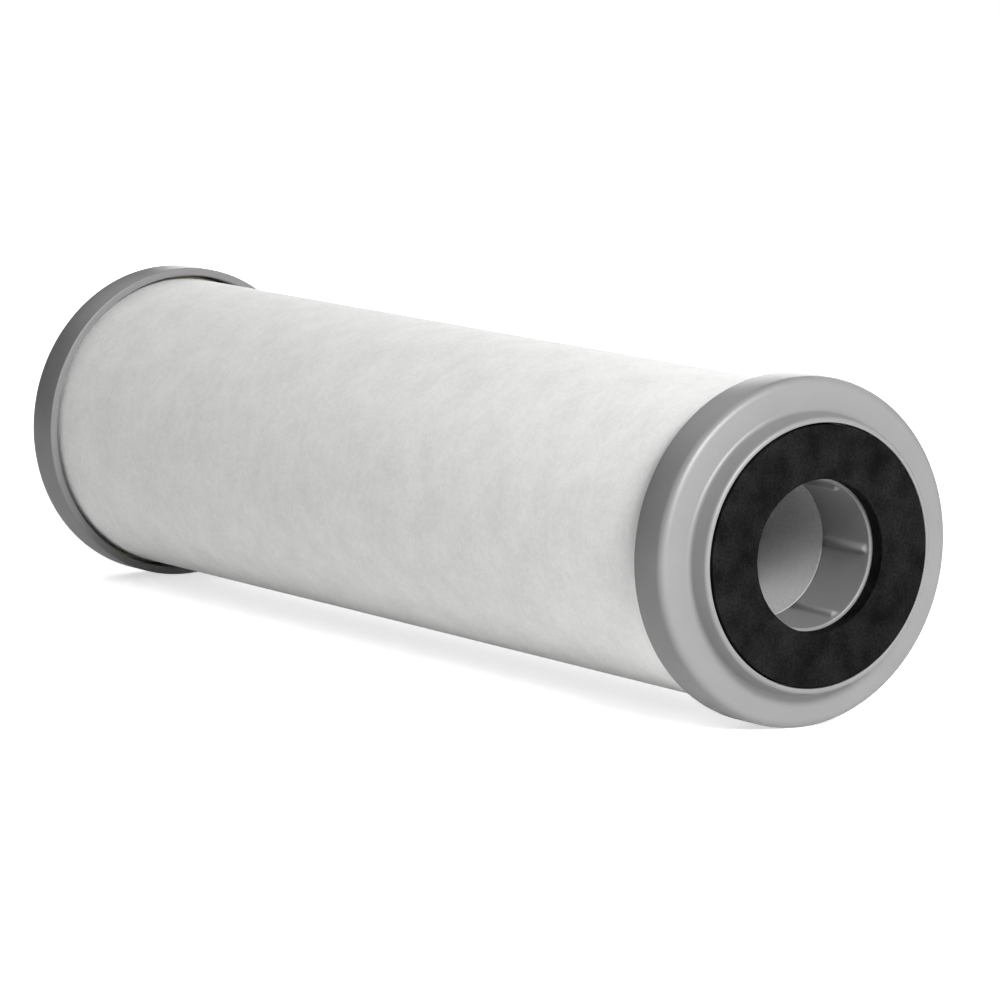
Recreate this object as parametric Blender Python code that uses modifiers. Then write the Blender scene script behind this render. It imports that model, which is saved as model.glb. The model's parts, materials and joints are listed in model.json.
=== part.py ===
"""Drop-in radial-flow water filter cartridge, open at both ends, lying on its side.

The cartridge's axis is the world X axis at the height of the caps' radius, so the two caps
rest on the plane Z = 0. The front end is at +X. Water is pushed inwards through the wrap,
the sediment layer and the carbon block, and leaves through the bore at either end.
"""

import math

import bmesh
import bpy

MM = 0.001

# Driving dimensions of the standard cartridge.
OVERALL_LENGTH = 248.0 * MM  # between the two gasket faces
CAP_RADIUS = 34.0 * MM
WRAP_RADIUS = 31.5 * MM
BORE_RADIUS = 14.3 * MM
GASKET_OUTER_RADIUS = 25.3 * MM
GASKET_INNER_RADIUS = 15.1 * MM
GASKET_THICKNESS = 3.2 * MM

CLEARANCE = 0.3 * MM  # between pieces that touch
FACETS = 60  # round each turned piece: a multiple of 4 and of RIB_COUNT
ROUND_STEPS = 3  # straight runs in each rounded corner

# End cap, measured from the plane of its outer face.
GASKET_FACE_HEIGHT = 4.7 * MM
GASKET_PROUD = 0.4 * MM
BOSS_RADIUS = 27.0 * MM
BOSS_ROUNDING = 0.9 * MM
BOSS_FILLET = 0.8 * MM
CAP_EDGE_ROUNDING = 1.0 * MM
PLATE_THICKNESS = 2.2 * MM
SKIRT_HEIGHT = 8.9 * MM
SKIRT_WALL = 1.7 * MM
SKIRT_CHAMFER = 0.3 * MM
MOUTH_ROUNDING = 0.6 * MM
COLLAR_DEPTH = 13.8 * MM
COLLAR_WALL = 2.0 * MM
COLLAR_CHAMFER = 0.6 * MM

# Centring ribs inside the collar.
RIB_COUNT = 6
RIB_HEIGHT = 0.8 * MM
RIB_WIDTH = 1.4 * MM
RIB_START = 0.5 * MM  # above the cap's face
RIB_ROOT = 0.8 * MM  # how far a rib reaches into the collar's wall

# Layers between the bore and the wrap.
CORE_BORE_RADIUS = 14.1 * MM
CORE_CHAMFER = 0.5 * MM
FLEECE_THICKNESS = 0.7 * MM
PREFILTER_THICKNESS = 1.5 * MM
WRAP_THICKNESS = 0.6 * MM
GLUE_THICKNESS = 1.6 * MM

# Slots that let the water into the core tube.
SLOT_ROWS = 10
SLOTS_PER_ROW = 6
SLOT_PITCH = 15.0 * MM
SLOT_LENGTH = 9.0 * MM
SLOT_WIDTH = 3.0 * MM

# Bead of hot melt that closes the wrap's overlap, on the cartridge's back.
BEAD_WIDTH = 3.0 * MM
BEAD_THICKNESS = 0.5 * MM
BEAD_ANGLE = math.radians(-30.0)  # from +Y towards +Z
BEAD_END_GAP = 0.7 * MM  # between the bead's end and the skirt

# Places that follow from the dimensions above. Heights are along the axis from mid-length.
CAP_FACE = OVERALL_LENGTH / 2 - GASKET_FACE_HEIGHT
COLLAR_RADIUS = BORE_RADIUS + COLLAR_WALL
GLUE_TOP = CAP_FACE - PLATE_THICKNESS - CLEARANCE
MEDIA_END = GLUE_TOP - GLUE_THICKNESS - CLEARANCE
CORE_END = CAP_FACE - COLLAR_DEPTH - CLEARANCE
SKIRT_END = CAP_FACE - SKIRT_HEIGHT
FLEECE_BORE = COLLAR_RADIUS + CLEARANCE
BLOCK_BORE = FLEECE_BORE + FLEECE_THICKNESS + CLEARANCE
WRAP_BORE = WRAP_RADIUS - WRAP_THICKNESS
PREFILTER_RADIUS = WRAP_BORE - CLEARANCE
PREFILTER_BORE = PREFILTER_RADIUS - PREFILTER_THICKNESS
BLOCK_RADIUS = PREFILTER_BORE - CLEARANCE
GLUE_RADIUS = CAP_RADIUS - SKIRT_WALL - CLEARANCE

HALF_FACET = math.pi / FACETS
FACET_SCALE = 1 / math.cos(HALF_FACET)  # puts the middle of each facet on the true circle
SMOOTH_ANGLE = math.radians(30.0)


def clear_scene():
    for obj in list(bpy.data.objects):
        bpy.data.objects.remove(obj, do_unlink=True)


def new_collection(name, hidden=False):
    collection = bpy.data.collections.new(name)
    bpy.context.scene.collection.children.link(collection)
    collection.hide_render = hidden
    return collection


def plain_material(name, colour, roughness):
    material = bpy.data.materials.new(name)
    material.use_nodes = True
    shader = material.node_tree.nodes["Principled BSDF"]
    shader.inputs["Base Color"].default_value = (*colour, 1.0)
    shader.inputs["Roughness"].default_value = roughness
    shader.inputs["Metallic"].default_value = 0.0
    return material


def new_empty(name, collection, parent=None, turn=0.0, height=0.0):
    """An empty whose local Z is an axis of the cartridge, turned about the world's Y axis."""
    empty = bpy.data.objects.new(name, None)
    empty.empty_display_size = 10 * MM
    empty.parent = parent
    empty.rotation_euler = (0.0, turn, 0.0)
    empty.location.z = height
    collection.objects.link(empty)
    return empty


def corner(centre, radius, start, end):
    """Points of a rounded corner as (radius, height), from the angle start to the angle end."""
    points = []
    for step in range(ROUND_STEPS + 1):
        angle = math.radians(start + (end - start) * step / ROUND_STEPS)
        points.append(
            (centre[0] + radius * math.cos(angle), centre[1] + radius * math.sin(angle))
        )
    return points


def bake(obj):
    """Turns the modifiers' result into the object's own mesh and shades its round faces smooth."""
    graph = bpy.context.evaluated_depsgraph_get()
    mesh = bpy.data.meshes.new_from_object(obj.evaluated_get(graph))
    mesh.name = obj.name
    obj.modifiers.clear()
    obj.data = mesh
    mesh.shade_smooth()
    mesh.set_sharp_from_angle(angle=SMOOTH_ANGLE)


def turned(name, outline, material, collection, parent, height=0.0):
    """A ring whose closed outline of (radius, height) points runs down its outer side."""
    mesh = bpy.data.meshes.new(name)
    points = [(radius * FACET_SCALE, 0.0, level) for radius, level in outline]
    count = len(points)
    edges = [(index, (index + 1) % count) for index in range(count)]
    mesh.from_pydata(points, edges, [])
    mesh.materials.append(material)
    obj = bpy.data.objects.new(name, mesh)
    collection.objects.link(obj)
    obj.parent = parent
    obj.location.z = height
    obj.rotation_euler.z = HALF_FACET
    screw = obj.modifiers.new("Turn", "SCREW")
    screw.axis = "Z"
    screw.angle = math.tau
    screw.steps = FACETS
    screw.render_steps = FACETS
    screw.use_merge_vertices = True
    screw.merge_threshold = 0.00001
    return obj


def tube_outline(inner, outer, bottom, top, chamfer=0.0):
    """Outline of a plain tube, with its bore's two edges chamfered if asked."""
    outline = [(outer, top), (outer, bottom)]
    if chamfer:
        outline += [(inner + chamfer, bottom), (inner, bottom + chamfer)]
        outline += [(inner, top - chamfer), (inner + chamfer, top)]
    else:
        outline += [(inner, bottom), (inner, top)]
    return outline


def add_box(mesh, size, centre, angle):
    """Adds a box to a bmesh, whose first axis points away from Z at the angle given."""
    box = bmesh.ops.create_cube(mesh, size=1.0)["verts"]
    bmesh.ops.scale(mesh, vec=size, verts=box)
    bmesh.ops.translate(mesh, vec=centre, verts=box)
    cosine = math.cos(angle)
    sine = math.sin(angle)
    for vertex in box:
        x, y, z = vertex.co
        vertex.co = (x * cosine - y * sine, x * sine + y * cosine, z)


def box_object(name, boxes, collection, parent, height=0.0):
    """One object made of boxes, each given as (size, centre, angle about Z)."""
    shape = bmesh.new()
    for size, centre, angle in boxes:
        add_box(shape, size, centre, angle)
    mesh = bpy.data.meshes.new(name)
    shape.to_mesh(mesh)
    shape.free()
    obj = bpy.data.objects.new(name, mesh)
    collection.objects.link(obj)
    obj.parent = parent
    obj.location.z = height
    return obj


def as_helper(obj):
    obj.hide_render = True
    obj.display_type = "WIRE"


def combine(obj, helper, operation):
    as_helper(helper)
    boolean = obj.modifiers.new(operation.title(), "BOOLEAN")
    boolean.object = helper
    boolean.operation = operation
    boolean.solver = "EXACT"


def cap_outline():
    """The end cap's section: boss, face, skirt, plate and collar, round to the gasket's seat."""
    lip_top = GASKET_FACE_HEIGHT - GASKET_PROUD
    seat = GASKET_FACE_HEIGHT - GASKET_THICKNESS - CLEARANCE
    seat_radius = GASKET_OUTER_RADIUS + CLEARANCE
    skirt_bore = CAP_RADIUS - SKIRT_WALL
    outline = [(seat_radius, lip_top)]
    outline += corner((BOSS_RADIUS - BOSS_ROUNDING, lip_top - BOSS_ROUNDING), BOSS_ROUNDING, 90, 0)
    outline += corner((BOSS_RADIUS + BOSS_FILLET, BOSS_FILLET), BOSS_FILLET, 180, 270)
    outline += corner((CAP_RADIUS - CAP_EDGE_ROUNDING, -CAP_EDGE_ROUNDING), CAP_EDGE_ROUNDING, 90, 0)
    outline += [
        (CAP_RADIUS, -SKIRT_HEIGHT + SKIRT_CHAMFER),
        (CAP_RADIUS - SKIRT_CHAMFER, -SKIRT_HEIGHT),
        (skirt_bore + SKIRT_CHAMFER, -SKIRT_HEIGHT),
        (skirt_bore, -SKIRT_HEIGHT + SKIRT_CHAMFER),
        (skirt_bore, -PLATE_THICKNESS),
        (COLLAR_RADIUS, -PLATE_THICKNESS),
        (COLLAR_RADIUS, -COLLAR_DEPTH),
        (BORE_RADIUS + COLLAR_CHAMFER, -COLLAR_DEPTH),
        (BORE_RADIUS, -COLLAR_DEPTH + COLLAR_CHAMFER),
    ]
    outline += corner((BORE_RADIUS + MOUTH_ROUNDING, seat - MOUTH_ROUNDING), MOUTH_ROUNDING, 180, 90)
    outline.append((seat_radius, seat))
    return outline


def rib_boxes():
    """Boxes for the centring ribs, which stop short of the collar's chamfer."""
    bottom = -COLLAR_DEPTH + COLLAR_CHAMFER
    length = RIB_START - bottom
    depth = RIB_HEIGHT + RIB_ROOT
    size = (depth, RIB_WIDTH, length)
    centre = (BORE_RADIUS - RIB_HEIGHT + depth / 2, 0.0, bottom + length / 2)
    first = math.radians(90)
    return [(size, centre, first + math.tau * rib / RIB_COUNT) for rib in range(RIB_COUNT)]


def make_end(end, centre, material, parts, helpers):
    """One end's cap, gasket and glue, on an empty whose local Z points out of that end."""
    cap = turned(f"{end}_end_cap", cap_outline(), material["cap"], parts, centre, CAP_FACE)
    ribs = box_object(f"{end}_rib_helper", rib_boxes(), helpers, centre, CAP_FACE)
    combine(cap, ribs, "UNION")
    gasket_outline = tube_outline(
        GASKET_INNER_RADIUS,
        GASKET_OUTER_RADIUS,
        GASKET_FACE_HEIGHT - GASKET_THICKNESS,
        GASKET_FACE_HEIGHT,
    )
    gasket = turned(f"{end}_gasket", gasket_outline, material["rubber"], parts, centre, CAP_FACE)
    glue_outline = tube_outline(FLEECE_BORE, GLUE_RADIUS, -GLUE_THICKNESS, 0.0)
    glue = turned(f"{end}_glue_ring", glue_outline, material["glue"], parts, centre, GLUE_TOP)
    return [cap, gasket, glue]


def make_layer(name, inner, outer, material, parts, axis):
    outline = tube_outline(inner, outer, -MEDIA_END, MEDIA_END)
    return turned(name, outline, material, parts, axis)


def slot_boxes():
    """Boxes for the core tube's slots: every other row is turned by half a slot's spacing."""
    reach = 2 * COLLAR_WALL
    size = (reach, SLOT_WIDTH, SLOT_LENGTH)
    spacing = math.tau / SLOTS_PER_ROW
    boxes = []
    for row in range(SLOT_ROWS):
        height = (row - (SLOT_ROWS - 1) / 2) * SLOT_PITCH
        centre = ((CORE_BORE_RADIUS + COLLAR_RADIUS) / 2, 0.0, height)
        for slot in range(SLOTS_PER_ROW):
            boxes.append((size, centre, spacing * (slot + (row % 2) / 2)))
    return boxes


def make_core_tube(material, parts, helpers, axis):
    outline = tube_outline(CORE_BORE_RADIUS, COLLAR_RADIUS, -CORE_END, CORE_END, CORE_CHAMFER)
    core = turned("core_tube", outline, material, parts, axis)
    slots = box_object("slot_helper", slot_boxes(), helpers, axis)
    combine(core, slots, "DIFFERENCE")
    return core


def make_glue_bead(material, parts, axis):
    """A flat bead along the wrap's back. The axis empty's local X points down and its Y along +Y."""
    size = (BEAD_THICKNESS, BEAD_WIDTH, 2 * (SKIRT_END - BEAD_END_GAP))
    centre = (WRAP_RADIUS + CLEARANCE + BEAD_THICKNESS / 2, 0.0, 0.0)
    angle = math.radians(90) + BEAD_ANGLE
    bead = box_object("wrap_glue_bead", [(size, centre, angle)], parts, axis)
    bead.data.materials.append(material)
    return bead


def main():
    clear_scene()
    parts = new_collection("water_filter_cartridge")
    helpers = new_collection("helpers", hidden=True)
    material = {
        "cap": plain_material("moulded_grey_cap", (0.38, 0.39, 0.40), 0.42),
        "rubber": plain_material("black_rubber", (0.018, 0.018, 0.018), 0.75),
        "glue": plain_material("hot_melt", (0.72, 0.66, 0.50), 0.45),
        "wrap": plain_material("white_nonwoven_wrap", (0.80, 0.80, 0.79), 0.90),
        "prefilter": plain_material("sediment_felt", (0.78, 0.77, 0.72), 0.95),
        "carbon": plain_material("bonded_carbon", (0.012, 0.012, 0.013), 0.85),
        "fleece": plain_material("inner_fleece", (0.75, 0.75, 0.73), 0.95),
        "core": plain_material("moulded_grey_core", (0.40, 0.41, 0.42), 0.38),
    }
    axis = new_empty("filter_axis", parts, turn=math.radians(90), height=CAP_RADIUS)
    rear = new_empty("rear_axis", parts, parent=axis, turn=math.radians(180))
    nodes = make_end("front", axis, material, parts, helpers)
    nodes += make_end("rear", rear, material, parts, helpers)
    nodes.append(make_layer("outer_wrap", WRAP_BORE, WRAP_RADIUS, material["wrap"], parts, axis))
    nodes.append(
        make_layer("prefilter_sleeve", PREFILTER_BORE, PREFILTER_RADIUS, material["prefilter"], parts, axis)
    )
    nodes.append(make_layer("carbon_block", BLOCK_BORE, BLOCK_RADIUS, material["carbon"], parts, axis))
    nodes.append(
        make_layer("inner_fleece", FLEECE_BORE, FLEECE_BORE + FLEECE_THICKNESS, material["fleece"], parts, axis)
    )
    nodes.append(make_core_tube(material["core"], parts, helpers, axis))
    make_glue_bead(material["glue"], parts, axis)
    for node in nodes:
        bake(node)


main()
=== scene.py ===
# %% [markdown]
# # Finishing a drop-in water filter cartridge
#
# A cartridge like this one drops into a filter housing. Water is pressed in through the white
# sleeve, crosses a felt and a block of bonded carbon, and leaves through the bore at either end.
# The frame already holds its sizes and its motion, as twelve plain, faceted solids. This lesson
# gives each of them its finished shape and surface, and then lights and frames the whole.
#
# The frame is loaded first, because every later size and place is read from it.

import json
import math

import bmesh
import bpy
from mathutils import Matrix, Vector, noise


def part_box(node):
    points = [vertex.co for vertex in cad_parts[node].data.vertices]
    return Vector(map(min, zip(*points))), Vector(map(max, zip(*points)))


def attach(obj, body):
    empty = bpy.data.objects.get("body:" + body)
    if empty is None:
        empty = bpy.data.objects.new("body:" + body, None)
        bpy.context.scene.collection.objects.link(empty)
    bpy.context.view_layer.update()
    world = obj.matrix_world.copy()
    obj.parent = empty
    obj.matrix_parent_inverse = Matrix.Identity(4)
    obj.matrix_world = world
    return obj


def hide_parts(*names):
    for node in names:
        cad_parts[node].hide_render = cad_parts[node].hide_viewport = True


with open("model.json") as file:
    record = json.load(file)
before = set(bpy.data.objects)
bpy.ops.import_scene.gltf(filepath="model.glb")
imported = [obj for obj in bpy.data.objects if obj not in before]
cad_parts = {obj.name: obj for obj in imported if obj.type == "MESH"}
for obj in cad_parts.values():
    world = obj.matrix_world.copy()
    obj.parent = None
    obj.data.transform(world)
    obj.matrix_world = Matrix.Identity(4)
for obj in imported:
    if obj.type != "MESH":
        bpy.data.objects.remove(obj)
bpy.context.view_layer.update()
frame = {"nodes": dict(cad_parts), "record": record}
print("nodes:", sorted(frame["nodes"]))

# %% [markdown]
# ## The sizes that the frame gives
#
# The cartridge lies along X, so a piece's outer radius is half its height, and its ends are its
# lowest and highest X. Two faces that only the record knows, the cap's and the seal's, come
# from its mounts. Inner sizes can't be read from a box, so each is named where it is used.

# %% Read the sizes
MM = 0.001


def radius_of(node):
    low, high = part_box(node)
    return (high.z - low.z) / 2


def ends_of(node):
    low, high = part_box(node)
    return low.x, high.x


mounts = {mount["name"]: Vector(mount["pos_m"]) for mount in frame["record"]["mounts"]}
CAP_RADIUS = radius_of("front_end_cap")
AXIS_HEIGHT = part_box("front_end_cap")[0].z + CAP_RADIUS
SEAL_FACE = mounts["front_seal_face"].x
CAP_FACE = mounts["front_cap_face"].x
print(f"axis {AXIS_HEIGHT / MM:.1f} mm up")
print(f"cap face {CAP_FACE / MM:.1f} mm, seal face {SEAL_FACE / MM:.1f} mm")

# %% [markdown]
# ## One frame for every round piece
#
# All the pieces are turned about one line, so each is drawn upright, about its own Z axis, with
# zero at the cartridge's middle. One quarter turn about Y then lays it down with its top at the
# front. The rear end takes the opposite turn, so both ends share one drawing. A texture that
# reads object coordinates turns with the piece, which keeps a moulding's marks where they belong.

# %% Placing a piece
QUARTER_TURN = math.radians(90)
END_TURNS = {"front": QUARTER_TURN, "rear": -QUARTER_TURN}


def settle(piece, body, nodes, end="front"):
    """Lays a piece on the cartridge's axis, on its body, in place of the frame's plain solids."""
    upright = Matrix.Translation((0.0, 0.0, AXIS_HEIGHT))
    piece.matrix_world = upright @ Matrix.Rotation(END_TURNS[end], 4, "Y")
    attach(piece, body)
    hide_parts(*nodes)
    print(f"{piece.name}: {len(piece.data.polygons)} faces, rides on {body}")


# %% [markdown]
# ## Drawing a section, and turning it
#
# A moulding has no knife-sharp edges: the mould's steel is rounded, and that thin bright line
# along an edge is what tells the eye that a part is real. A bevel modifier could round the
# edges afterwards, but it has to guess which ones. Here each corner of the section carries its
# own rounding, and the corner is swapped for an arc before the section is turned.
#
# The Screw modifier would turn the section. Turning it in code costs little more, and it lets
# the angles crowd together where a rib needs them, and lets a function push the surface about.

# %% The lathe
ARC_STEPS = 5
ROUND_SEGMENTS = 180
SHARP_ANGLE = math.radians(35)


def rounded(corners):
    """Swaps each corner (radius, height, rounding) of a closed section for an arc of points."""
    section = []
    for index, (radius, height, rounding) in enumerate(corners):
        corner = Vector((radius, height))
        if rounding == 0.0:
            section.append(corner)
            continue
        back = (Vector(corners[index - 1][:2]) - corner).normalized()
        ahead = (Vector(corners[(index + 1) % len(corners)][:2]) - corner).normalized()
        half_angle = back.angle(ahead) / 2
        centre = corner + (back + ahead).normalized() * rounding / math.sin(half_angle)
        start = corner + back * rounding / math.tan(half_angle) - centre
        stop = corner + ahead * rounding / math.tan(half_angle) - centre
        for step in range(ARC_STEPS + 1):
            swing = start.slerp(stop, step / ARC_STEPS).normalized()
            section.append(centre + swing * rounding)
    return section


def even_angles(count):
    return [math.tau * step / count for step in range(count)]


def finished_object(name, shape, material):
    """An object of a bmesh, shaded smooth except across its real corners."""
    mesh = bpy.data.meshes.new(name)
    shape.to_mesh(mesh)
    shape.free()
    mesh.shade_smooth()
    mesh.set_sharp_from_angle(angle=SHARP_ANGLE)
    mesh.materials.append(material)
    piece = bpy.data.objects.new(name, mesh)
    bpy.context.scene.collection.objects.link(piece)
    return piece


def turned(name, section, angles, material, reshape=None):
    """Turns a closed section, drawn down its outer side first, about Z.

    reshape takes a point's angle, radius and height, and gives back its radius and height.
    """
    shape = bmesh.new()
    columns = []
    for angle in angles:
        column = []
        for radius, height in section:
            if reshape:
                radius, height = reshape(angle, radius, height)
            column.append(shape.verts.new((radius * math.cos(angle), radius * math.sin(angle), height)))
        columns.append(column)
    for this, following in zip(columns, columns[1:] + columns[:1]):
        for row in range(len(section)):
            below = (row + 1) % len(section)
            shape.faces.new((this[row], this[below], following[below], following[row]))
    return finished_object(name, shape, material)


print(f"a full turn has {ROUND_SEGMENTS} segments, {math.tau * CAP_RADIUS / ROUND_SEGMENTS / MM:.2f} mm each")

# %% [markdown]
# ## Colours and nodes
#
# Colours are easiest to judge as sRGB hex values, but a shader works in linear light, so one
# function turns the one into the other. A second function adds a node: it sets the node's own
# settings, then fills each input with either a value or a link. With those two, every material
# below is a short list of steps that reads in the order the light meets them.
#
# A pattern's scale is the number of repeats in a metre, so `per_size` takes the size of one
# grain or one thread and gives the scale back.

# %% Colour and node helpers


def linear(hex_colour):
    """An sRGB colour such as "8a8c8e" as linear red, green, blue and alpha."""
    channels = []
    for start in (0, 2, 4):
        value = int(hex_colour[start : start + 2], 16) / 255
        channels.append(value / 12.92 if value <= 0.04045 else ((value + 0.055) / 1.055) ** 2.4)
    return (*channels, 1.0)


def per_size(size):
    return 1.0 / size


def add_node(tree, kind, settings=None, inputs=None):
    """Adds a node, sets it, and fills its inputs with values or with other nodes' outputs."""
    made = tree.nodes.new("ShaderNode" + kind)
    made.location.x = -200.0 * len(tree.nodes)
    for setting, value in (settings or {}).items():
        setattr(made, setting, value)
    for socket, value in (inputs or {}).items():
        if isinstance(value, bpy.types.NodeSocket):
            tree.links.new(value, made.inputs[socket])
        else:
            made.inputs[socket].default_value = value
    return made


def new_material(name, constants):
    """A material whose Principled shader starts from constants, with its tree and shader."""
    material = bpy.data.materials.new(name)
    material.use_nodes = True
    shader = material.node_tree.nodes["Principled BSDF"]
    for socket, value in constants.items():
        shader.inputs[socket].default_value = value
    return material, material.node_tree, shader


# A colour Mix node has inputs for other kinds of data before its colours, so its factor, its two
# colours and its result are told apart by number.
MIX_FACTOR = 0
MIX_FIRST = 6
MIX_SECOND = 7
MIX_RESULT = 2
print("mid grey 808080 is", round(linear("808080")[0], 3), "in linear light")

# %% [markdown]
# ## The camera
#
# The cartridge lies at a slant, with its front end close and its rear end going away to the
# left. A long lens keeps the two caps nearly the same size. The camera is given by the
# direction it looks from, how far off it stands, and how far its aim is from the cartridge's
# middle, so that each of these can be changed alone.

# %% Camera
CAMERA_AZIMUTH = math.radians(56.0)
CAMERA_ELEVATION = math.radians(7.64)
CAMERA_ROLL = math.radians(0.97)
CAMERA_DISTANCE = 1322.4 * MM
CAMERA_LENS = 230.6  # in millimetres, which is how a camera's lens and sensor are given
SENSOR_WIDTH = 36.0
AIM_RIGHT = 8.0 * MM
AIM_UP = -4.1 * MM

camera_back = Vector(
    (
        math.sin(CAMERA_AZIMUTH) * math.cos(CAMERA_ELEVATION),
        -math.cos(CAMERA_AZIMUTH) * math.cos(CAMERA_ELEVATION),
        math.sin(CAMERA_ELEVATION),
    )
)
level_right = Vector((0.0, 0.0, 1.0)).cross(camera_back).normalized()
level_up = camera_back.cross(level_right)
camera_right = level_right * math.cos(CAMERA_ROLL) + level_up * math.sin(CAMERA_ROLL)
camera_up = camera_back.cross(camera_right)
camera_turn = Matrix((camera_right, camera_up, camera_back)).transposed()
aim = Vector((0.0, 0.0, AXIS_HEIGHT)) + camera_right * AIM_RIGHT + camera_up * AIM_UP

camera_data = bpy.data.cameras.new("camera")
camera_data.lens = CAMERA_LENS
camera_data.sensor_width = SENSOR_WIDTH
camera = bpy.data.objects.new("camera", camera_data)
bpy.context.scene.collection.objects.link(camera)
camera.matrix_world = Matrix.Translation(aim + camera_back * CAMERA_DISTANCE) @ camera_turn.to_4x4()
bpy.context.scene.camera = camera
print("camera stands at", [round(value, 3) for value in camera.location])

# %% [markdown]
# ## A lit table
#
# Small white products are often shown on a sheet of opal acrylic lit from below, because the
# sheet swallows their shadows. A floor that really shone so strongly would also light the
# cartridge's underside and flatten its round shape. So the floor here is matt white, and its
# glow has two strengths: a strong one that the lens sees, and a weak one that reaches the
# cartridge. A light path node tells the two kinds of ray apart. The strong glow is a little
# lower near the cartridge, which leaves a soft shadow for it to stand on.

# %% Floor
FLOOR_SIZE = 60.0
CAST_GLOW = 0.07
NEAR_GLOW = 0.66
FAR_GLOW = 1.0
GLOW_START = 0.25
GLOW_FULL = 1.1
ACRYLIC_IOR = 1.49
ACRYLIC_ROUGHNESS = 0.85
OPAL_CLOUD = 0.4

floor_material, tree, shader = new_material(
    "opal_acrylic_sheet", {"Roughness": ACRYLIC_ROUGHNESS, "IOR": ACRYLIC_IOR}
)
place = add_node(tree, "TexCoord").outputs["Object"]
clouding = add_node(
    tree, "TexNoise", inputs={"Vector": place, "Scale": per_size(OPAL_CLOUD), "Detail": 2.0}
)
opal = add_node(
    tree,
    "Mix",
    {"data_type": "RGBA"},
    {MIX_FACTOR: clouding.outputs[0], MIX_FIRST: linear("f6f6f6"), MIX_SECOND: linear("fafafa")},
)
away = add_node(tree, "VectorMath", {"operation": "LENGTH"}, {0: place})
seen_glow = add_node(
    tree,
    "MapRange",
    {"interpolation_type": "SMOOTHSTEP"},
    {
        "Value": away.outputs["Value"],
        "From Min": GLOW_START,
        "From Max": GLOW_FULL,
        "To Min": NEAR_GLOW,
        "To Max": FAR_GLOW,
    },
)
seen = add_node(tree, "LightPath")
glow = add_node(
    tree,
    "MapRange",
    inputs={"Value": seen.outputs["Is Camera Ray"], "To Min": CAST_GLOW, "To Max": seen_glow.outputs[0]},
)
tree.links.new(opal.outputs[MIX_RESULT], shader.inputs["Base Color"])
tree.links.new(opal.outputs[MIX_RESULT], shader.inputs["Emission Color"])
tree.links.new(glow.outputs[0], shader.inputs["Emission Strength"])

shape = bmesh.new()
bmesh.ops.create_grid(shape, x_segments=1, y_segments=1, size=FLOOR_SIZE / 2)
floor = finished_object("floor", shape, floor_material)
print(f"floor {FLOOR_SIZE:.0f} m across, seen glow {NEAR_GLOW} to {FAR_GLOW}, cast glow {CAST_GLOW}")

# %% [markdown]
# ## Soft studio light
#
# Each softbox is an area light: the larger it is, and the nearer, the softer its shadows. One
# function places a box by its direction and distance from the cartridge and turns it to face
# it. The key stands to the front and right, well above the cartridge, so the sleeve is bright
# along its top and fades towards its underside. A second box looks down the bore, and a wide
# one fills the cap's face. Three more keep the back from going black.
#
# The studio's own walls give almost no light, but the lens sees them white, in the same way as
# the floor's glow.

# %% Lights
SOFTBOXES = {
    # name: azimuth and elevation in degrees, distance and size in metres, power in watts
    "key_softbox": (75.0, 27.0, 0.95, 0.24, 5.75),
    "bore_softbox": (90.0, 30.0, 1.3, 0.3, 8.3),
    "face_softbox": (90.0, 15.0, 1.3, 0.8, 7.8),
    "back_softbox": (180.0, 45.0, 1.3, 0.8, 1.8),
    "rear_softbox": (225.0, 15.0, 1.3, 0.8, 8.0),
    "left_softbox": (270.0, 45.0, 1.3, 0.8, 3.0),
}
WALL_LIGHT = 0.06


def softbox(name, azimuth, elevation, distance, size, power):
    """An area light that faces the cartridge's middle."""
    turn = math.radians(azimuth)
    rise = math.radians(elevation)
    towards = Vector(
        (math.sin(turn) * math.cos(rise), -math.cos(turn) * math.cos(rise), math.sin(rise))
    )
    data = bpy.data.lights.new(name, "AREA")
    data.shape = "SQUARE"
    data.size = size
    data.energy = power
    light = bpy.data.objects.new(name, data)
    bpy.context.scene.collection.objects.link(light)
    light.location = Vector((0.0, 0.0, AXIS_HEIGHT)) + towards * distance
    light.rotation_mode = "QUATERNION"
    light.rotation_quaternion = towards.to_track_quat("Z", "Y")
    light.visible_camera = False


for name, values in SOFTBOXES.items():
    softbox(name, *values)

world = bpy.data.worlds.new("studio_walls")
bpy.context.scene.world = world
world.use_nodes = True
walls = world.node_tree.nodes["Background"]
walls.inputs["Color"].default_value = linear("ffffff")
seen = add_node(world.node_tree, "LightPath")
strength = add_node(
    world.node_tree,
    "MapRange",
    inputs={"Value": seen.outputs["Is Camera Ray"], "To Min": WALL_LIGHT, "To Max": 1.0},
)
world.node_tree.links.new(strength.outputs[0], walls.inputs["Strength"])
bpy.context.scene.view_settings.view_transform = "Standard"
print(len(SOFTBOXES), "softboxes")

# %% [markdown]
# ## Grey polypropylene, injection moulded
#
# The caps and the core are polypropylene: cheap, tough and safe in water. Pigmented plastic
# hardly shows the mould's flow, but it is never one flat grey. Its skin has a faint clouding
# almost a centimetre across, and the etched steel of the mould leaves a grain too fine to see
# that spreads its highlight. Real mould grain is some 0.05 mm: here it is drawn at 0.3 mm, which is
# about the finest that still shows.

# %% Polypropylene material
POLYPROPYLENE_IOR = 1.49
FLOW_CLOUD = 9.0 * MM
MOULD_GRAIN = 0.3 * MM
GLOSS_SPREAD = 0.06


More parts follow.
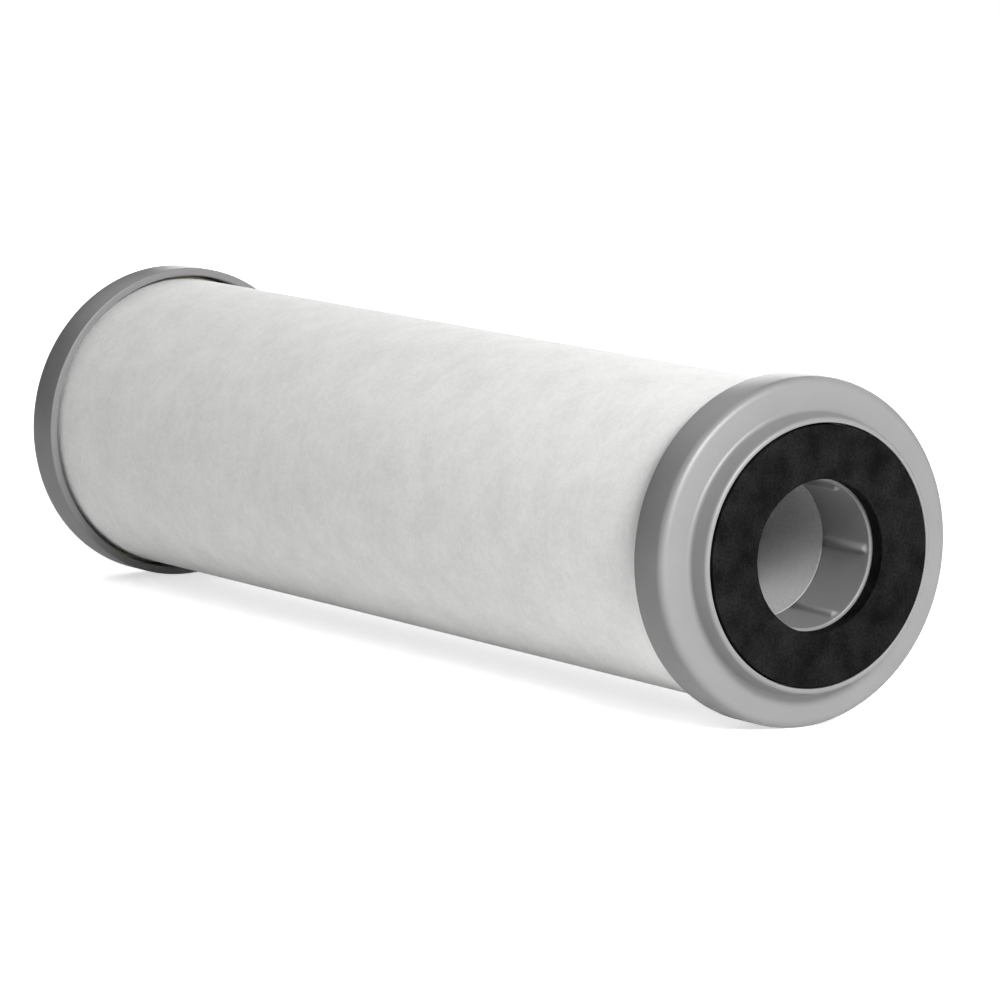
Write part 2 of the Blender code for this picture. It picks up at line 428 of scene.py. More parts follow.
def moulded_polypropylene(name, dark, light, roughness, grain_depth):
    """Pigmented polypropylene with a clouded colour and an etched grain."""
    material, tree, shader = new_material(name, {"IOR": POLYPROPYLENE_IOR, "Metallic": 0.0})
    place = add_node(tree, "TexCoord").outputs["Object"]
    cloud = add_node(
        tree, "TexNoise", inputs={"Vector": place, "Scale": per_size(FLOW_CLOUD), "Detail": 3.0}
    )
    grain = add_node(
        tree, "TexNoise", inputs={"Vector": place, "Scale": per_size(MOULD_GRAIN), "Detail": 2.0}
    )
    colour = add_node(
        tree,
        "Mix",
        {"data_type": "RGBA"},
        {MIX_FACTOR: cloud.outputs[0], MIX_FIRST: linear(dark), MIX_SECOND: linear(light)},
    )
    gloss = add_node(
        tree,
        "MapRange",
        inputs={
            "Value": grain.outputs[0],
            "To Min": roughness - GLOSS_SPREAD,
            "To Max": roughness + GLOSS_SPREAD,
        },
    )
    relief = add_node(
        tree, "Bump", inputs={"Strength": 1.0, "Distance": grain_depth, "Height": grain.outputs[0]}
    )
    tree.links.new(colour.outputs[MIX_RESULT], shader.inputs["Base Color"])
    tree.links.new(gloss.outputs[0], shader.inputs["Roughness"])
    tree.links.new(relief.outputs[0], shader.inputs["Normal"])
    return material


cap_plastic = moulded_polypropylene("moulded_grey_polypropylene", "747474", "7b7b7b", 0.4, 0.004 * MM)
core_plastic = moulded_polypropylene("moulded_grey_core_polypropylene", "a8a8a8", "b0b0b0", 0.28, 0.002 * MM)

# %% [markdown]
# ## The end caps
#
# Each cap is one moulding: a skirt that grips the layers' ends, a flat face, a raised boss that
# holds the gasket in a seat, and a collar that reaches into the core. The whole section is one
# closed outline, drawn from the boss's lip down the outside and back up through the bore.
#
# Six ribs in the bore centre the cartridge on its housing's spigots. They could be boxes joined
# by a Boolean, but a moulding's ribs grow out of the wall with a small fillet, which a Boolean
# doesn't give. So the bore's wall itself is pushed inwards: `rib_rise` says how high a rib
# stands at any angle and height, with soft flanks and ends, and the lathe's angles crowd
# together over each rib so that its flanks stay crisp.

# %% Cap sizes
BORE_RADIUS = 14.3 * MM
SEAT_CLEARANCE = 0.3 * MM
SEAT_RADIUS = radius_of("front_gasket") + SEAT_CLEARANCE
GASKET_THICKNESS = ends_of("front_gasket")[1] - ends_of("front_gasket")[0]
SEAT_FLOOR = SEAL_FACE - GASKET_THICKNESS - SEAT_CLEARANCE
LIP_TOP = SEAL_FACE - 0.4 * MM
BOSS_RADIUS = 27.0 * MM
BOSS_DRAFT = 0.4 * MM
PLATE_BACK = CAP_FACE - 2.2 * MM
SKIRT_END = CAP_FACE - 8.9 * MM
SKIRT_BORE = CAP_RADIUS - 1.7 * MM
COLLAR_RADIUS = BORE_RADIUS + 2.0 * MM
COLLAR_END = ends_of("front_end_cap")[0]

RIB_COUNT = 6
RIB_HEIGHT = 0.8 * MM
RIB_WIDTH = 1.4 * MM
RIB_FLANK = 0.9 * MM
RIB_LEAD_IN = 0.9 * MM
RIB_BOTTOM = COLLAR_END + 0.6 * MM
RIB_TOP = CAP_FACE + 0.5 * MM
ON_BORE_WALL = BORE_RADIUS + 0.01 * MM


def smooth_step(low, high, value):
    share = min(1.0, max(0.0, (value - low) / (high - low)))
    return share * share * (3.0 - 2.0 * share)


def rib_rise(angle, height):
    """How far a rib stands in from the bore's wall at an angle and a height."""
    spacing = math.tau / RIB_COUNT
    aside = abs((angle - QUARTER_TURN + spacing / 2) % spacing - spacing / 2) * BORE_RADIUS
    across = 1.0 - smooth_step((RIB_WIDTH - RIB_FLANK) / 2, (RIB_WIDTH + RIB_FLANK) / 2, aside)
    along = smooth_step(RIB_BOTTOM, RIB_BOTTOM + RIB_LEAD_IN, height)
    along *= 1.0 - smooth_step(RIB_TOP - RIB_LEAD_IN, RIB_TOP, height)
    return RIB_HEIGHT * across * along


def cap_angles():
    """Even angles over the whole turn, with close ones added over each rib."""
    flank_steps = 12
    reach = (RIB_WIDTH + RIB_FLANK) / 2 / BORE_RADIUS
    angles = []
    for rib in range(RIB_COUNT):
        centre = QUARTER_TURN + math.tau * rib / RIB_COUNT
        for step in range(flank_steps + 1):
            angles.append(centre + reach * (2 * step / flank_steps - 1))
        gap_steps = ROUND_SEGMENTS // RIB_COUNT
        gap = math.tau / RIB_COUNT - 2 * reach
        for step in range(1, gap_steps):
            angles.append(centre + reach + gap * step / gap_steps)
    return angles


def rib_heights():
    """Heights down the bore's wall that follow a rib's two soft ends."""
    end_steps = 4
    top = [RIB_TOP - RIB_LEAD_IN * step / end_steps for step in range(end_steps + 1)]
    bottom = [RIB_BOTTOM + RIB_LEAD_IN * step / end_steps for step in range(end_steps + 1)]
    return bottom + list(reversed(top))


cap_section = rounded(
    [
        (SEAT_RADIUS, LIP_TOP, 0.2 * MM),
        (BOSS_RADIUS - BOSS_DRAFT, LIP_TOP, 0.8 * MM),
        (BOSS_RADIUS + BOSS_DRAFT, CAP_FACE, 1.0 * MM),
        (CAP_RADIUS, CAP_FACE, 1.7 * MM),
        (CAP_RADIUS, SKIRT_END, 0.3 * MM),
        (SKIRT_BORE, SKIRT_END, 0.3 * MM),
        (SKIRT_BORE, PLATE_BACK, 0.5 * MM),
        (COLLAR_RADIUS, PLATE_BACK, 0.5 * MM),
        (COLLAR_RADIUS, COLLAR_END, 0.3 * MM),
        (BORE_RADIUS, COLLAR_END, 0.15 * MM),
        *[(BORE_RADIUS, height, 0.0) for height in rib_heights()],
        (BORE_RADIUS, SEAT_FLOOR, 0.3 * MM),
        (SEAT_RADIUS, SEAT_FLOOR, 0.2 * MM),
    ]
)


def with_ribs(angle, radius, height):
    """Pushes a point of the bore's wall inwards where a rib stands."""
    if radius < ON_BORE_WALL:
        radius -= rib_rise(angle, height)
    return radius, height


# %% Make the end caps
for end in END_TURNS:
    cap = turned(f"{end}_end_cap_moulding", cap_section, cap_angles(), cap_plastic, with_ribs)
    settle(cap, "cartridge", [f"{end}_end_cap"], end)

# %% [markdown]
# ## Black sheet rubber, die cut
#
# The gaskets are punched from a calendered sheet of nitrile rubber 3.2 mm thick. Its face is
# matt, with a pale bloom of talc and wax in flecks about half a millimetre across, and darker
# places where hands have polished it. A rubber's reflection is weak and wide, so most of what
# is seen is that bloom.

# %% Rubber material
RUBBER_IOR = 1.52
BLOOM_FLECK = 0.5 * MM
BLOOM_PATCH = 5.0 * MM
BLOOM_LEAST = 0.14
BLOOM_MOST = 0.4
POLISHED_ROUGHNESS = 0.62
BLOOMED_ROUGHNESS = 0.85
RUBBER_RELIEF = 0.03 * MM

gasket_rubber, tree, shader = new_material(
    "die_cut_nitrile_rubber", {"IOR": RUBBER_IOR, "Metallic": 0.0, "Specular IOR Level": 0.06}
)
place = add_node(tree, "TexCoord").outputs["Object"]
fleck = add_node(tree, "TexNoise", inputs={"Vector": place, "Scale": per_size(BLOOM_FLECK), "Detail": 3.0})
patch = add_node(tree, "TexNoise", inputs={"Vector": place, "Scale": per_size(BLOOM_PATCH), "Detail": 2.0})
bloom = add_node(
    tree, "Math", {"operation": "MULTIPLY"}, {0: fleck.outputs[0], 1: patch.outputs[0]}
)
bloom_share = add_node(
    tree,
    "MapRange",
    inputs={"Value": bloom.outputs[0], "From Min": BLOOM_LEAST, "From Max": BLOOM_MOST},
)
colour = add_node(
    tree,
    "Mix",
    {"data_type": "RGBA"},
    {MIX_FACTOR: bloom_share.outputs[0], MIX_FIRST: linear("020202"), MIX_SECOND: linear("1a1a1a")},
)
gloss = add_node(
    tree,
    "MapRange",
    inputs={
        "Value": bloom_share.outputs[0],
        "To Min": POLISHED_ROUGHNESS,
        "To Max": BLOOMED_ROUGHNESS,
    },
)
relief = add_node(
    tree, "Bump", inputs={"Strength": 1.0, "Distance": RUBBER_RELIEF, "Height": fleck.outputs[0]}
)
tree.links.new(colour.outputs[MIX_RESULT], shader.inputs["Base Color"])
tree.links.new(gloss.outputs[0], shader.inputs["Roughness"])
tree.links.new(relief.outputs[0], shader.inputs["Normal"])

# %% [markdown]
# ## The gaskets
#
# A die-cut ring is flat, but not as flat as a moulding: it lies in its seat with a ripple of a
# few hundredths of a millimetre, and its cut sides are drawn in a little, because rubber bulges
# under the die and springs back. Ripple and waist only take material away. The hole is drawn
# 0.3 mm smaller in radius than the frame's, so there the ring stands out of the frame's solid.

# %% Make the gaskets
GASKET_RADIUS = radius_of("front_gasket")
GASKET_BORE = 14.8 * MM
GASKET_BACK = SEAL_FACE - GASKET_THICKNESS
CUT_EDGE = 0.18 * MM
CUT_WAIST = 0.12 * MM
WAIST_ROUNDING = 2.0 * MM
RIPPLE = 0.05 * MM
RIPPLE_LENGTH = 9.0 * MM
FACE_STEPS = 8
gasket_width = GASKET_RADIUS - GASKET_BORE
gasket_middle = (SEAL_FACE + GASKET_BACK) / 2
face_radii = [GASKET_BORE + gasket_width * step / FACE_STEPS for step in range(1, FACE_STEPS)]

gasket_section = rounded(
    [
        (GASKET_RADIUS, SEAL_FACE, CUT_EDGE),
        (GASKET_RADIUS - CUT_WAIST, gasket_middle, WAIST_ROUNDING),
        (GASKET_RADIUS, GASKET_BACK, CUT_EDGE),
        (GASKET_BORE, GASKET_BACK, CUT_EDGE),
        (GASKET_BORE + CUT_WAIST, gasket_middle, WAIST_ROUNDING),
        (GASKET_BORE, SEAL_FACE, CUT_EDGE),
        *[(radius, SEAL_FACE, 0.0) for radius in face_radii],
    ]
)


def rippled(angle, radius, height):
    """Lowers the gasket's outer face by a shallow ripple."""
    spot = Vector((math.cos(angle), math.sin(angle), 0.0)) * radius / RIPPLE_LENGTH
    depth = RIPPLE * (0.5 + 0.5 * noise.noise(spot))
    share = smooth_step(GASKET_BACK, SEAL_FACE, height)
    return radius, height - depth * share


for end in END_TURNS:
    gasket = turned(
        f"{end}_gasket_ring", gasket_section, even_angles(ROUND_SEGMENTS), gasket_rubber, rippled
    )
    settle(gasket, f"{end}_gasket", [f"{end}_gasket"], end)

# %% [markdown]
# ## The core tube
#
# The core holds the carbon open against the water's pressure. It is a plain tube with rows of
# slots, each row turned half a step from the last so that no line of slots weakens it. Slots
# are what a Boolean is for: the cutters are sixty short bars with round ends, joined in one
# mesh, and one EXACT difference cuts them all.

# %% Make the core tube
CORE_RADIUS = radius_of("core_tube")
CORE_BORE = BORE_RADIUS
CORE_END = ends_of("core_tube")[1]
SLOT_ROWS = 10
SLOTS_PER_ROW = 6
SLOT_PITCH = 15.0 * MM
SLOT_LENGTH = 9.0 * MM
SLOT_WIDTH = 3.0 * MM
SLOT_REACH = 3.0 * MM
CORE_SEGMENTS = 120


def slot_cutter():
    """One mesh of short bars with round ends, where the core's slots go."""
    shape = bmesh.new()
    for row in range(SLOT_ROWS):
        height = (row - (SLOT_ROWS - 1) / 2) * SLOT_PITCH
        for slot in range(SLOTS_PER_ROW):
            angle = math.tau * (slot + (row % 2) / 2) / SLOTS_PER_ROW
            bar = bmesh.ops.create_cone(
                shape,
                segments=24,
                cap_ends=True,
                radius1=SLOT_WIDTH / 2,
                radius2=SLOT_WIDTH / 2,
                depth=2 * SLOT_REACH,
            )["verts"]
            half_run = (SLOT_LENGTH - SLOT_WIDTH) / 2
            for vertex in bar:
                vertex.co.x += math.copysign(half_run, vertex.co.x)
            turn = Matrix.Rotation(angle, 4, "Z") @ Matrix.Translation((CORE_RADIUS, 0.0, height))
            bmesh.ops.transform(shape, verts=bar, matrix=turn @ Matrix.Rotation(QUARTER_TURN, 4, "Y"))
    return finished_object("slot_cutter", shape, core_plastic)


def cut(piece, cutter):
    """Cuts a piece with a cutter for good, and removes the cutter."""
    difference = piece.modifiers.new("Cut", "BOOLEAN")
    difference.operation = "DIFFERENCE"
    difference.solver = "EXACT"
    difference.object = cutter
    graph = bpy.context.evaluated_depsgraph_get()
    piece.data = bpy.data.meshes.new_from_object(piece.evaluated_get(graph))
    piece.data.name = piece.name
    piece.modifiers.clear()
    bpy.data.objects.remove(cutter)
    piece.data.set_sharp_from_angle(angle=SHARP_ANGLE)


core_section = rounded(
    [
        (CORE_RADIUS, CORE_END, 0.25 * MM),
        (CORE_RADIUS, -CORE_END, 0.25 * MM),
        (CORE_BORE, -CORE_END, 0.0),
        (CORE_BORE, CORE_END, 0.0),
    ]
)
core = turned("slotted_core_tube", core_section, even_angles(CORE_SEGMENTS), core_plastic)
cut(core, slot_cutter())
settle(core, "cartridge", ["core_tube"])

# %% [markdown]
# ## White spunbond polypropylene
#
# The sleeve is a spunbond: endless filaments laid in a random web and pressed together by a hot
# roller. Seen close it is a felt of fine swirls, thicker in some places than in others, and the
# winding pulls it into faint bands round the sleeve. Real filaments are 0.02 mm thick. They are
# drawn here as swirls about 2 mm apart, the finest that still show.
#
# Three patterns do it. Clouds a centimetre across vary how much of the grey beneath shows
# through. A noise squeezed along the axis makes the bands. The filaments are the places where a
# third noise crosses its own middle value, which gives thin, wandering lines.

# %% Spunbond material
WEB_CLOUD = 8.0 * MM
WEB_BAND = 0.9 * MM
WEB_BAND_STRETCH = 8.0
FILAMENT_SWIRL = 1.8 * MM
FILAMENT_SHARE = 0.09
BAND_WEIGHT = 0.3
FILAMENT_WEIGHT = 0.3
COVER_LEAST = 0.45
COVER_MOST = 1.05
SWIRL_DISTORTION = 0.8
FIBRE_IOR = 1.49
WEB_SURFACE = {
    "Roughness": 0.92,
    "IOR": FIBRE_IOR,
    "Metallic": 0.0,
    "Sheen Weight": 0.04,
    "Sheen Roughness": 0.6,
}


def laid_web(name, thin, thick, filament_depth, swirl):
    """A non-woven web: clouded colour, faint bands round the axis and swirling filaments."""
    material, tree, shader = new_material(name, WEB_SURFACE)
    place = add_node(tree, "TexCoord").outputs["Object"]
    cloud = add_node(
        tree, "TexNoise", inputs={"Vector": place, "Scale": per_size(WEB_CLOUD), "Detail": 4.0}
    )
    squeezed = add_node(
        tree, "Mapping", inputs={"Vector": place, "Scale": (1.0, 1.0, WEB_BAND_STRETCH)}
    )
    band = add_node(
        tree,
        "TexNoise",
        inputs={
            "Vector": squeezed.outputs[0],
            "Scale": per_size(WEB_BAND * WEB_BAND_STRETCH),
            "Detail": 2.0,
        },
    )
    swirls = add_node(
        tree,
        "TexNoise",
        inputs={
            "Vector": place,
            "Scale": per_size(swirl),
            "Detail": 3.0,
            "Distortion": SWIRL_DISTORTION,
        },
    )
    off_middle = add_node(
        tree, "Math", {"operation": "SUBTRACT"}, {0: swirls.outputs[0], 1: 0.5}
    )
    distance = add_node(tree, "Math", {"operation": "ABSOLUTE"}, {0: off_middle.outputs[0]})
    filament = add_node(
        tree,
        "MapRange",
        inputs={
            "Value": distance.outputs[0],
            "From Min": 0.0,
            "From Max": FILAMENT_SHARE,
            "To Min": 1.0,
            "To Max": 0.0,
        },
    )
    banded = add_node(
        tree,
        "Math",
        {"operation": "MULTIPLY_ADD"},
        {0: band.outputs[0], 1: BAND_WEIGHT, 2: cloud.outputs[0]},
    )
    cover = add_node(
        tree,
        "Math",
        {"operation": "MULTIPLY_ADD"},
        {0: filament.outputs[0], 1: FILAMENT_WEIGHT, 2: banded.outputs[0]},
    )
    share = add_node(
        tree,
        "MapRange",
        inputs={"Value": cover.outputs[0], "From Min": COVER_LEAST, "From Max": COVER_MOST},
    )
    colour = add_node(
        tree,
        "Mix",
        {"data_type": "RGBA"},
        {MIX_FACTOR: share.outputs[0], MIX_FIRST: linear(thin), MIX_SECOND: linear(thick)},
    )
    relief = add_node(
        tree,
        "Bump",
        inputs={"Strength": 1.0, "Distance": filament_depth, "Height": cover.outputs[0]},
    )
    tree.links.new(colour.outputs[MIX_RESULT], shader.inputs["Base Color"])
    tree.links.new(relief.outputs[0], shader.inputs["Normal"])
    return material


wrap_web = laid_web("white_spunbond_polypropylene", "e4e4e3", "f1f1f0", 0.012 * MM, FILAMENT_SWIRL)

# %% [markdown]
# ## Rolling a sheet
#
# The sleeve is a flat sheet rolled round the layers beneath, with its last edge lapped over its
# first. A tube would hide that, so the sheet is made as it really lies: one strip that starts
# under the lap, climbs out from under it, goes once round and ends on top. The strip's outer
# surface is worked out for each step round, and its inner surface lies one thickness in. A
# shallow ripple, always inwards, keeps it from looking machined.

# %% Rolled sheets
CLIMB = math.radians(12)
SEAM_ANGLE = math.radians(60)
LAP_CLEARANCE = 0.05 * MM
BUTT_GAP = 0.2 * MM
SHEET_RIPPLE_LENGTH = 14.0 * MM


def rolled_sheet(name, node, thickness, lap, ripple, material, steps=(192, 96)):
    """A sheet rolled to the outer radius and length of a node, with its edge at SEAM_ANGLE."""
    radius = radius_of(node)
    length = ends_of(node)[1] - ends_of(node)[0]
    overlap = lap / radius
    lap_space = thickness + LAP_CLEARANCE if lap > 0 else 0.0
    joint_gap = 0.0 if lap > 0 else BUTT_GAP / radius
    sweep = math.tau + overlap - joint_gap
    turns, rows = steps
    shape = bmesh.new()
    skins = {"outer": [], "inner": []}
    for turn in range(turns + 1):
        travel = sweep * turn / turns
        angle = SEAM_ANGLE - overlap + travel
        tucked = lap_space * (1.0 - smooth_step(overlap, overlap + CLIMB, travel))
        columns = {"outer": [], "inner": []}
        for row in range(rows + 1):
            height = length * (row / rows - 0.5)
            spot = Vector((math.cos(angle) * radius, math.sin(angle) * radius, height))
            dip = ripple * (0.5 + 0.5 * noise.noise(spot / SHEET_RIPPLE_LENGTH))
            outer = radius - tucked - dip
            for skin, reach in (("outer", outer), ("inner", outer - thickness)):
                point = (reach * math.cos(angle), reach * math.sin(angle), height)
                columns[skin].append(shape.verts.new(point))
        for skin in skins:
            skins[skin].append(columns[skin])
    outer, inner = skins["outer"], skins["inner"]
    for turn in range(turns):
        for row in range(rows):
            shape.faces.new(
                (outer[turn][row], outer[turn + 1][row], outer[turn + 1][row + 1], outer[turn][row + 1])
            )
            shape.faces.new(
                (inner[turn][row], inner[turn][row + 1], inner[turn + 1][row + 1], inner[turn + 1][row])
            )
        shape.faces.new((outer[turn][0], inner[turn][0], inner[turn + 1][0], outer[turn + 1][0]))
        shape.faces.new(
            (outer[turn][rows], outer[turn + 1][rows], inner[turn + 1][rows], inner[turn][rows])
        )
    for row in range(rows):
        shape.faces.new((outer[0][row], outer[0][row + 1], inner[0][row + 1], inner[0][row]))
        shape.faces.new(
            (outer[turns][row], inner[turns][row], inner[turns][row + 1], outer[turns][row + 1])
        )
    piece = finished_object(name, shape, material)
    flat = (sweep * (radius - thickness / 2), length)
    print(f"{name} is cut to {flat[0] / MM:.1f} by {flat[1] / MM:.1f} mm")
    return piece, flat


# %% Make the outer wrap
WRAP_RADIUS = radius_of("outer_wrap")
WRAP_THICKNESS = 0.35 * MM
WRAP_LAP = 11.0 * MM
WRAP_RIPPLE = 0.08 * MM
wrap, wrap_flat = rolled_sheet(
    "spunbond_outer_wrap", "outer_wrap", WRAP_THICKNESS, WRAP_LAP, WRAP_RIPPLE, wrap_web
)
settle(wrap, "cartridge", ["outer_wrap"])

# %% [markdown]
# ## Hot-melt adhesive
#
# Hot melt is poured or laid as a liquid and freezes in seconds. It is milky and a little yellow,
# its skin is as glossy as wet wax, and it has slow waves where it froze as it ran. Some light
# goes into it and comes out a millimetre away, which softens its shading: that is what the
# subsurface weight is for.

# %% Hot-melt material
MELT_IOR = 1.48
MELT_WAVE = 2.5 * MM
MELT_RELIEF = 0.08 * MM

hot_melt, tree, shader = new_material(
    "poured_hot_melt_adhesive",
    {"IOR": MELT_IOR, "Metallic": 0.0, "Subsurface Weight": 0.3, "Subsurface Scale": 1.0 * MM},
)
place = add_node(tree, "TexCoord").outputs["Object"]
wave = add_node(tree, "TexNoise", inputs={"Vector": place, "Scale": per_size(MELT_WAVE), "Detail": 1.5})
colour = add_node(
    tree,
    "Mix",
    {"data_type": "RGBA"},
    {MIX_FACTOR: wave.outputs[0], MIX_FIRST: linear("d9cfae"), MIX_SECOND: linear("ece5cf")},
)
gloss = add_node(tree, "MapRange", inputs={"Value": wave.outputs[0], "To Min": 0.22, "To Max": 0.42})
relief = add_node(
    tree, "Bump", inputs={"Strength": 1.0, "Distance": MELT_RELIEF, "Height": wave.outputs[0]}
)
tree.links.new(colour.outputs[MIX_RESULT], shader.inputs["Base Color"])
tree.links.new(gloss.outputs[0], shader.inputs["Roughness"])
tree.links.new(relief.outputs[0], shader.inputs["Normal"])

# %% [markdown]
# ## The bead along the seam
#
# A gun lays one bead along the sleeve's last edge. Its width follows the hand that held it, and
# it ends just short of the skirts. A curve with a bevel would be round, and a bead laid on cloth
# is a low arch with a flat foot, so each section is drawn as half an ellipse. The foot steps
# down where the upper layer ends, so that the bead fills the step.

# %% Make the bead
BEAD_WIDTH = 3.0 * MM
BEAD_HEIGHT = 0.55 * MM
BEAD_HALF_LENGTH = ends_of("wrap_glue_bead")[1]
BEAD_SECTIONS = 220
ARCH_STEPS = 10
BEAD_FOOT = WRAP_RADIUS - 0.12 * MM
BEAD_UNEVENNESS = 0.25
WIDTH_WAVE = 9.0 * MM
RISE_WAVE = 6.0 * MM
DRIFT = 0.4 * MM
DRIFT_WAVE = 25.0 * MM
BLUNT_END = 0.02
STEP_START = -0.1 * MM
STEP_STOP = 0.4 * MM
RISE_SEED = Vector((7.0, 0.0, 0.0))
DRIFT_SEED = Vector((3.0, 0.0, 0.0))


def bead_ring(height):
    """Points of one section of the bead, over its arch from one foot to the other."""
    spot = Vector((0.0, 0.0, height))
    to_end = (BEAD_HALF_LENGTH - abs(height)) / BEAD_WIDTH
    taper = math.sqrt(1.0 - (1.0 - min(1.0, to_end + BLUNT_END)) ** 2)
    width = BEAD_WIDTH * taper * (1.0 + BEAD_UNEVENNESS * noise.noise(spot / WIDTH_WAVE))
    rise = BEAD_HEIGHT * taper * (1.0 + BEAD_UNEVENNESS * noise.noise(spot / RISE_WAVE + RISE_SEED))
    drift = DRIFT * noise.noise(spot / DRIFT_WAVE + DRIFT_SEED)
    ring = []
    for step in range(ARCH_STEPS + 1):
        swing = math.pi * step / ARCH_STEPS
        aside = drift - width / 2 * math.cos(swing)
        foot = BEAD_FOOT - WRAP_THICKNESS * smooth_step(STEP_START, STEP_STOP, aside)
        radius = max(foot, BEAD_FOOT + rise * math.sin(swing))
        if step in (0, ARCH_STEPS):
            radius = foot
        angle = SEAM_ANGLE + aside / WRAP_RADIUS
        ring.append((radius * math.cos(angle), radius * math.sin(angle), height))
    return ring


shape = bmesh.new()
rings = []
for section in range(BEAD_SECTIONS + 1):
    height = BEAD_HALF_LENGTH * (2 * section / BEAD_SECTIONS - 1)
    rings.append([shape.verts.new(point) for point in bead_ring(height)])
for this, following in zip(rings, rings[1:]):
    for step in range(ARCH_STEPS + 1):
        beside = (step + 1) % (ARCH_STEPS + 1)
        shape.faces.new((this[step], this[beside], following[beside], following[step]))
shape.faces.new(list(reversed(rings[0])))
shape.faces.new(rings[-1])
bead = finished_object("seam_hot_melt_bead", shape, hot_melt)
settle(bead, "cartridge", ["wrap_glue_bead"])

# %% [markdown]
# ## The potting under each cap
#
# Before a cap goes on, it is turned upside down and hot melt is poured round its collar. The
# layers' ends are pressed into the pool, which shuts the way round them. The pool is level
# against the cap, and wavy where it met the layers.

# %% Make the glue rings
GLUE_BORE = CORE_RADIUS + 0.3 * MM
GLUE_RADIUS = radius_of("front_glue_ring")
GLUE_BACK, GLUE_TOP = ends_of("front_glue_ring")
POOL_STEPS = 12
POOL_WAVE = 5.0 * MM
POOL_RISE = 0.25 * MM
pool_run = GLUE_RADIUS - GLUE_BORE
pool_radii = [GLUE_BORE + pool_run * step / POOL_STEPS for step in range(1, POOL_STEPS)]

glue_section = rounded(
    [
        (GLUE_RADIUS, GLUE_TOP, 0.2 * MM),
        (GLUE_RADIUS, GLUE_BACK, 0.5 * MM),
        *[(radius, GLUE_BACK, 0.0) for radius in reversed(pool_radii)],
        (GLUE_BORE, GLUE_BACK, 0.5 * MM),
        (GLUE_BORE, GLUE_TOP, 0.2 * MM),
    ]
)


def pooled(angle, radius, height):
    """Raises the side of the pool that met the layers, by up to a quarter of a millimetre."""
    spot = Vector((math.cos(angle), math.sin(angle), 0.0)) * radius / POOL_WAVE
    share = 1.0 - smooth_step(GLUE_BACK, GLUE_TOP, height)
    return radius, height + POOL_RISE * share * (0.5 + 0.5 * noise.noise(spot))


for end in END_TURNS:
    glue = turned(f"{end}_potting_ring", glue_section, even_angles(ROUND_SEGMENTS), hot_melt, pooled)
    settle(glue, "cartridge", [f"{end}_glue_ring"], end)

# %% [markdown]
# ## The felt and the inner fleece
#
# Under the sleeve lies a thick polyester felt that catches the coarse dirt. It is wound once,
# edge to edge, so it has a butt joint and no lap. Inside the carbon lies a thin fleece, lapped
# like the sleeve, that keeps carbon dust out of the water; the core's slots give a glimpse of
# it. Both are webs like the sleeve's, creamier and coarser for the felt.

# %% Make the felt and the fleece
FLEECE_THICKNESS = 0.3 * MM
FLEECE_LAP = 5.0 * MM
FLEECE_RIPPLE = 0.04 * MM
FELT_THICKNESS = 1.4 * MM
FELT_RIPPLE = 0.06 * MM
FELT_SWIRL = 3.2 * MM
HIDDEN_STEPS = (144, 60)

felt_web = laid_web("needled_polyester_felt", "d8d4c6", "ebe8dd", 0.15 * MM, FELT_SWIRL)
felt, felt_flat = rolled_sheet(
    "rolled_felt_sleeve", "prefilter_sleeve", FELT_THICKNESS, 0.0, FELT_RIPPLE, felt_web, HIDDEN_STEPS
)
settle(felt, "cartridge", ["prefilter_sleeve"])

fleece_web = laid_web("white_inner_fleece", "dcdcda", "ececea", 0.05 * MM, FILAMENT_SWIRL)
fleece, fleece_flat = rolled_sheet(
    "lapped_inner_fleece",
    "inner_fleece",
    FLEECE_THICKNESS,
    FLEECE_LAP,
    FLEECE_RIPPLE,
    fleece_web,
    HIDDEN_STEPS,
)
settle(fleece, "cartridge", ["inner_fleece"])

# %% [markdown]
# ## The carbon block
#
# The block is ground coconut-shell carbon bonded with a little polyethylene and extruded as a
# thick tube. Carbon is almost black and matt, and its grains are about 0.25 mm, so a Voronoi
# pattern of that size serves: each cell is one grain, a little lighter or darker than the next,
# and the gaps between cells are the pores. The die leaves faint lines along the block.

# %% Carbon material
CARBON_IOR = 1.6
CARBON_GRAIN = 0.25 * MM
PORE_DEPTH = 0.1 * MM

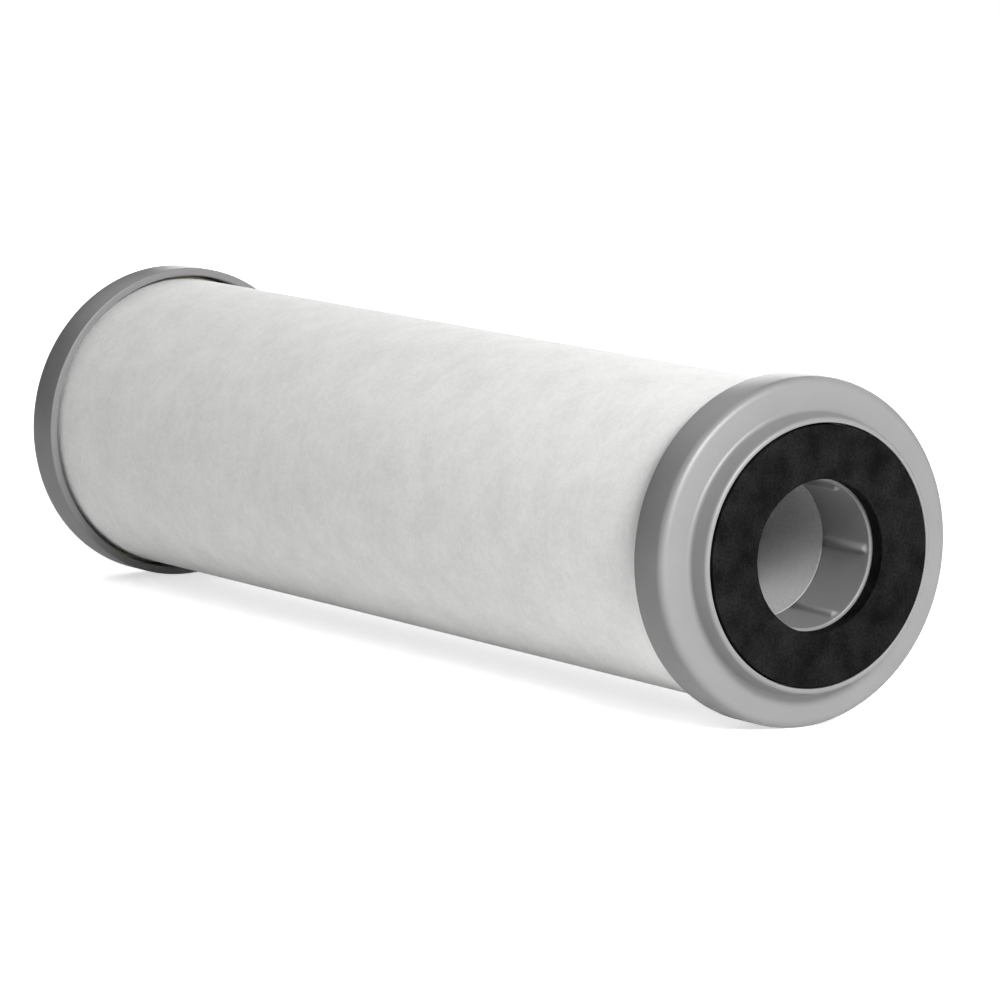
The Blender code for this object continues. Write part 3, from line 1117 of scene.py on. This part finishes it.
carbon, tree, shader = new_material("extruded_coconut_carbon", {"IOR": CARBON_IOR, "Metallic": 0.0})
place = add_node(tree, "TexCoord").outputs["Object"]
grains = add_node(tree, "TexVoronoi", inputs={"Vector": place, "Scale": per_size(CARBON_GRAIN)})
colour = add_node(
    tree,
    "Mix",
    {"data_type": "RGBA"},
    {MIX_FACTOR: grains.outputs["Distance"], MIX_FIRST: linear("252526"), MIX_SECOND: linear("0c0c0d")},
)
gloss = add_node(
    tree, "MapRange", inputs={"Value": grains.outputs["Distance"], "To Min": 0.6, "To Max": 0.95}
)
pores = add_node(
    tree,
    "Bump",
    {"invert": True},
    {"Strength": 1.0, "Distance": PORE_DEPTH, "Height": grains.outputs["Distance"]},
)
tree.links.new(colour.outputs[MIX_RESULT], shader.inputs["Base Color"])
tree.links.new(gloss.outputs[0], shader.inputs["Roughness"])
tree.links.new(pores.outputs[0], shader.inputs["Normal"])

# %% Make the carbon block
BLOCK_RADIUS = radius_of("carbon_block")
BLOCK_END = ends_of("carbon_block")[1]
BLOCK_BORE = radius_of("inner_fleece") + 0.3 * MM
DIE_LINE = 0.08 * MM
DIE_LINE_WIDTH = 1.5 * MM
DIE_LINE_WANDER = 60.0 * MM
BLOCK_ROWS = 40
block_heights = [BLOCK_END * (1 - 2 * row / BLOCK_ROWS) for row in range(1, BLOCK_ROWS)]

block_section = rounded(
    [
        (BLOCK_RADIUS, BLOCK_END, 0.6 * MM),
        *[(BLOCK_RADIUS, height, 0.0) for height in block_heights],
        (BLOCK_RADIUS, -BLOCK_END, 0.6 * MM),
        (BLOCK_BORE, -BLOCK_END, 0.4 * MM),
        (BLOCK_BORE, BLOCK_END, 0.4 * MM),
    ]
)


def die_drawn(angle, radius, height):
    """Sinks faint lines along the block's outer side, which wander a little with height."""
    if radius < (BLOCK_RADIUS + BLOCK_BORE) / 2:
        return radius, height
    around = Vector((math.cos(angle), math.sin(angle), 0.0)) * BLOCK_RADIUS / DIE_LINE_WIDTH
    wander = Vector((0.0, 0.0, height / DIE_LINE_WANDER))
    return radius - DIE_LINE * (0.5 + 0.5 * noise.noise(around + wander)), height


block = turned(
    "extruded_carbon_block", block_section, even_angles(ROUND_SEGMENTS), carbon, die_drawn
)
settle(block, "cartridge", ["carbon_block"])
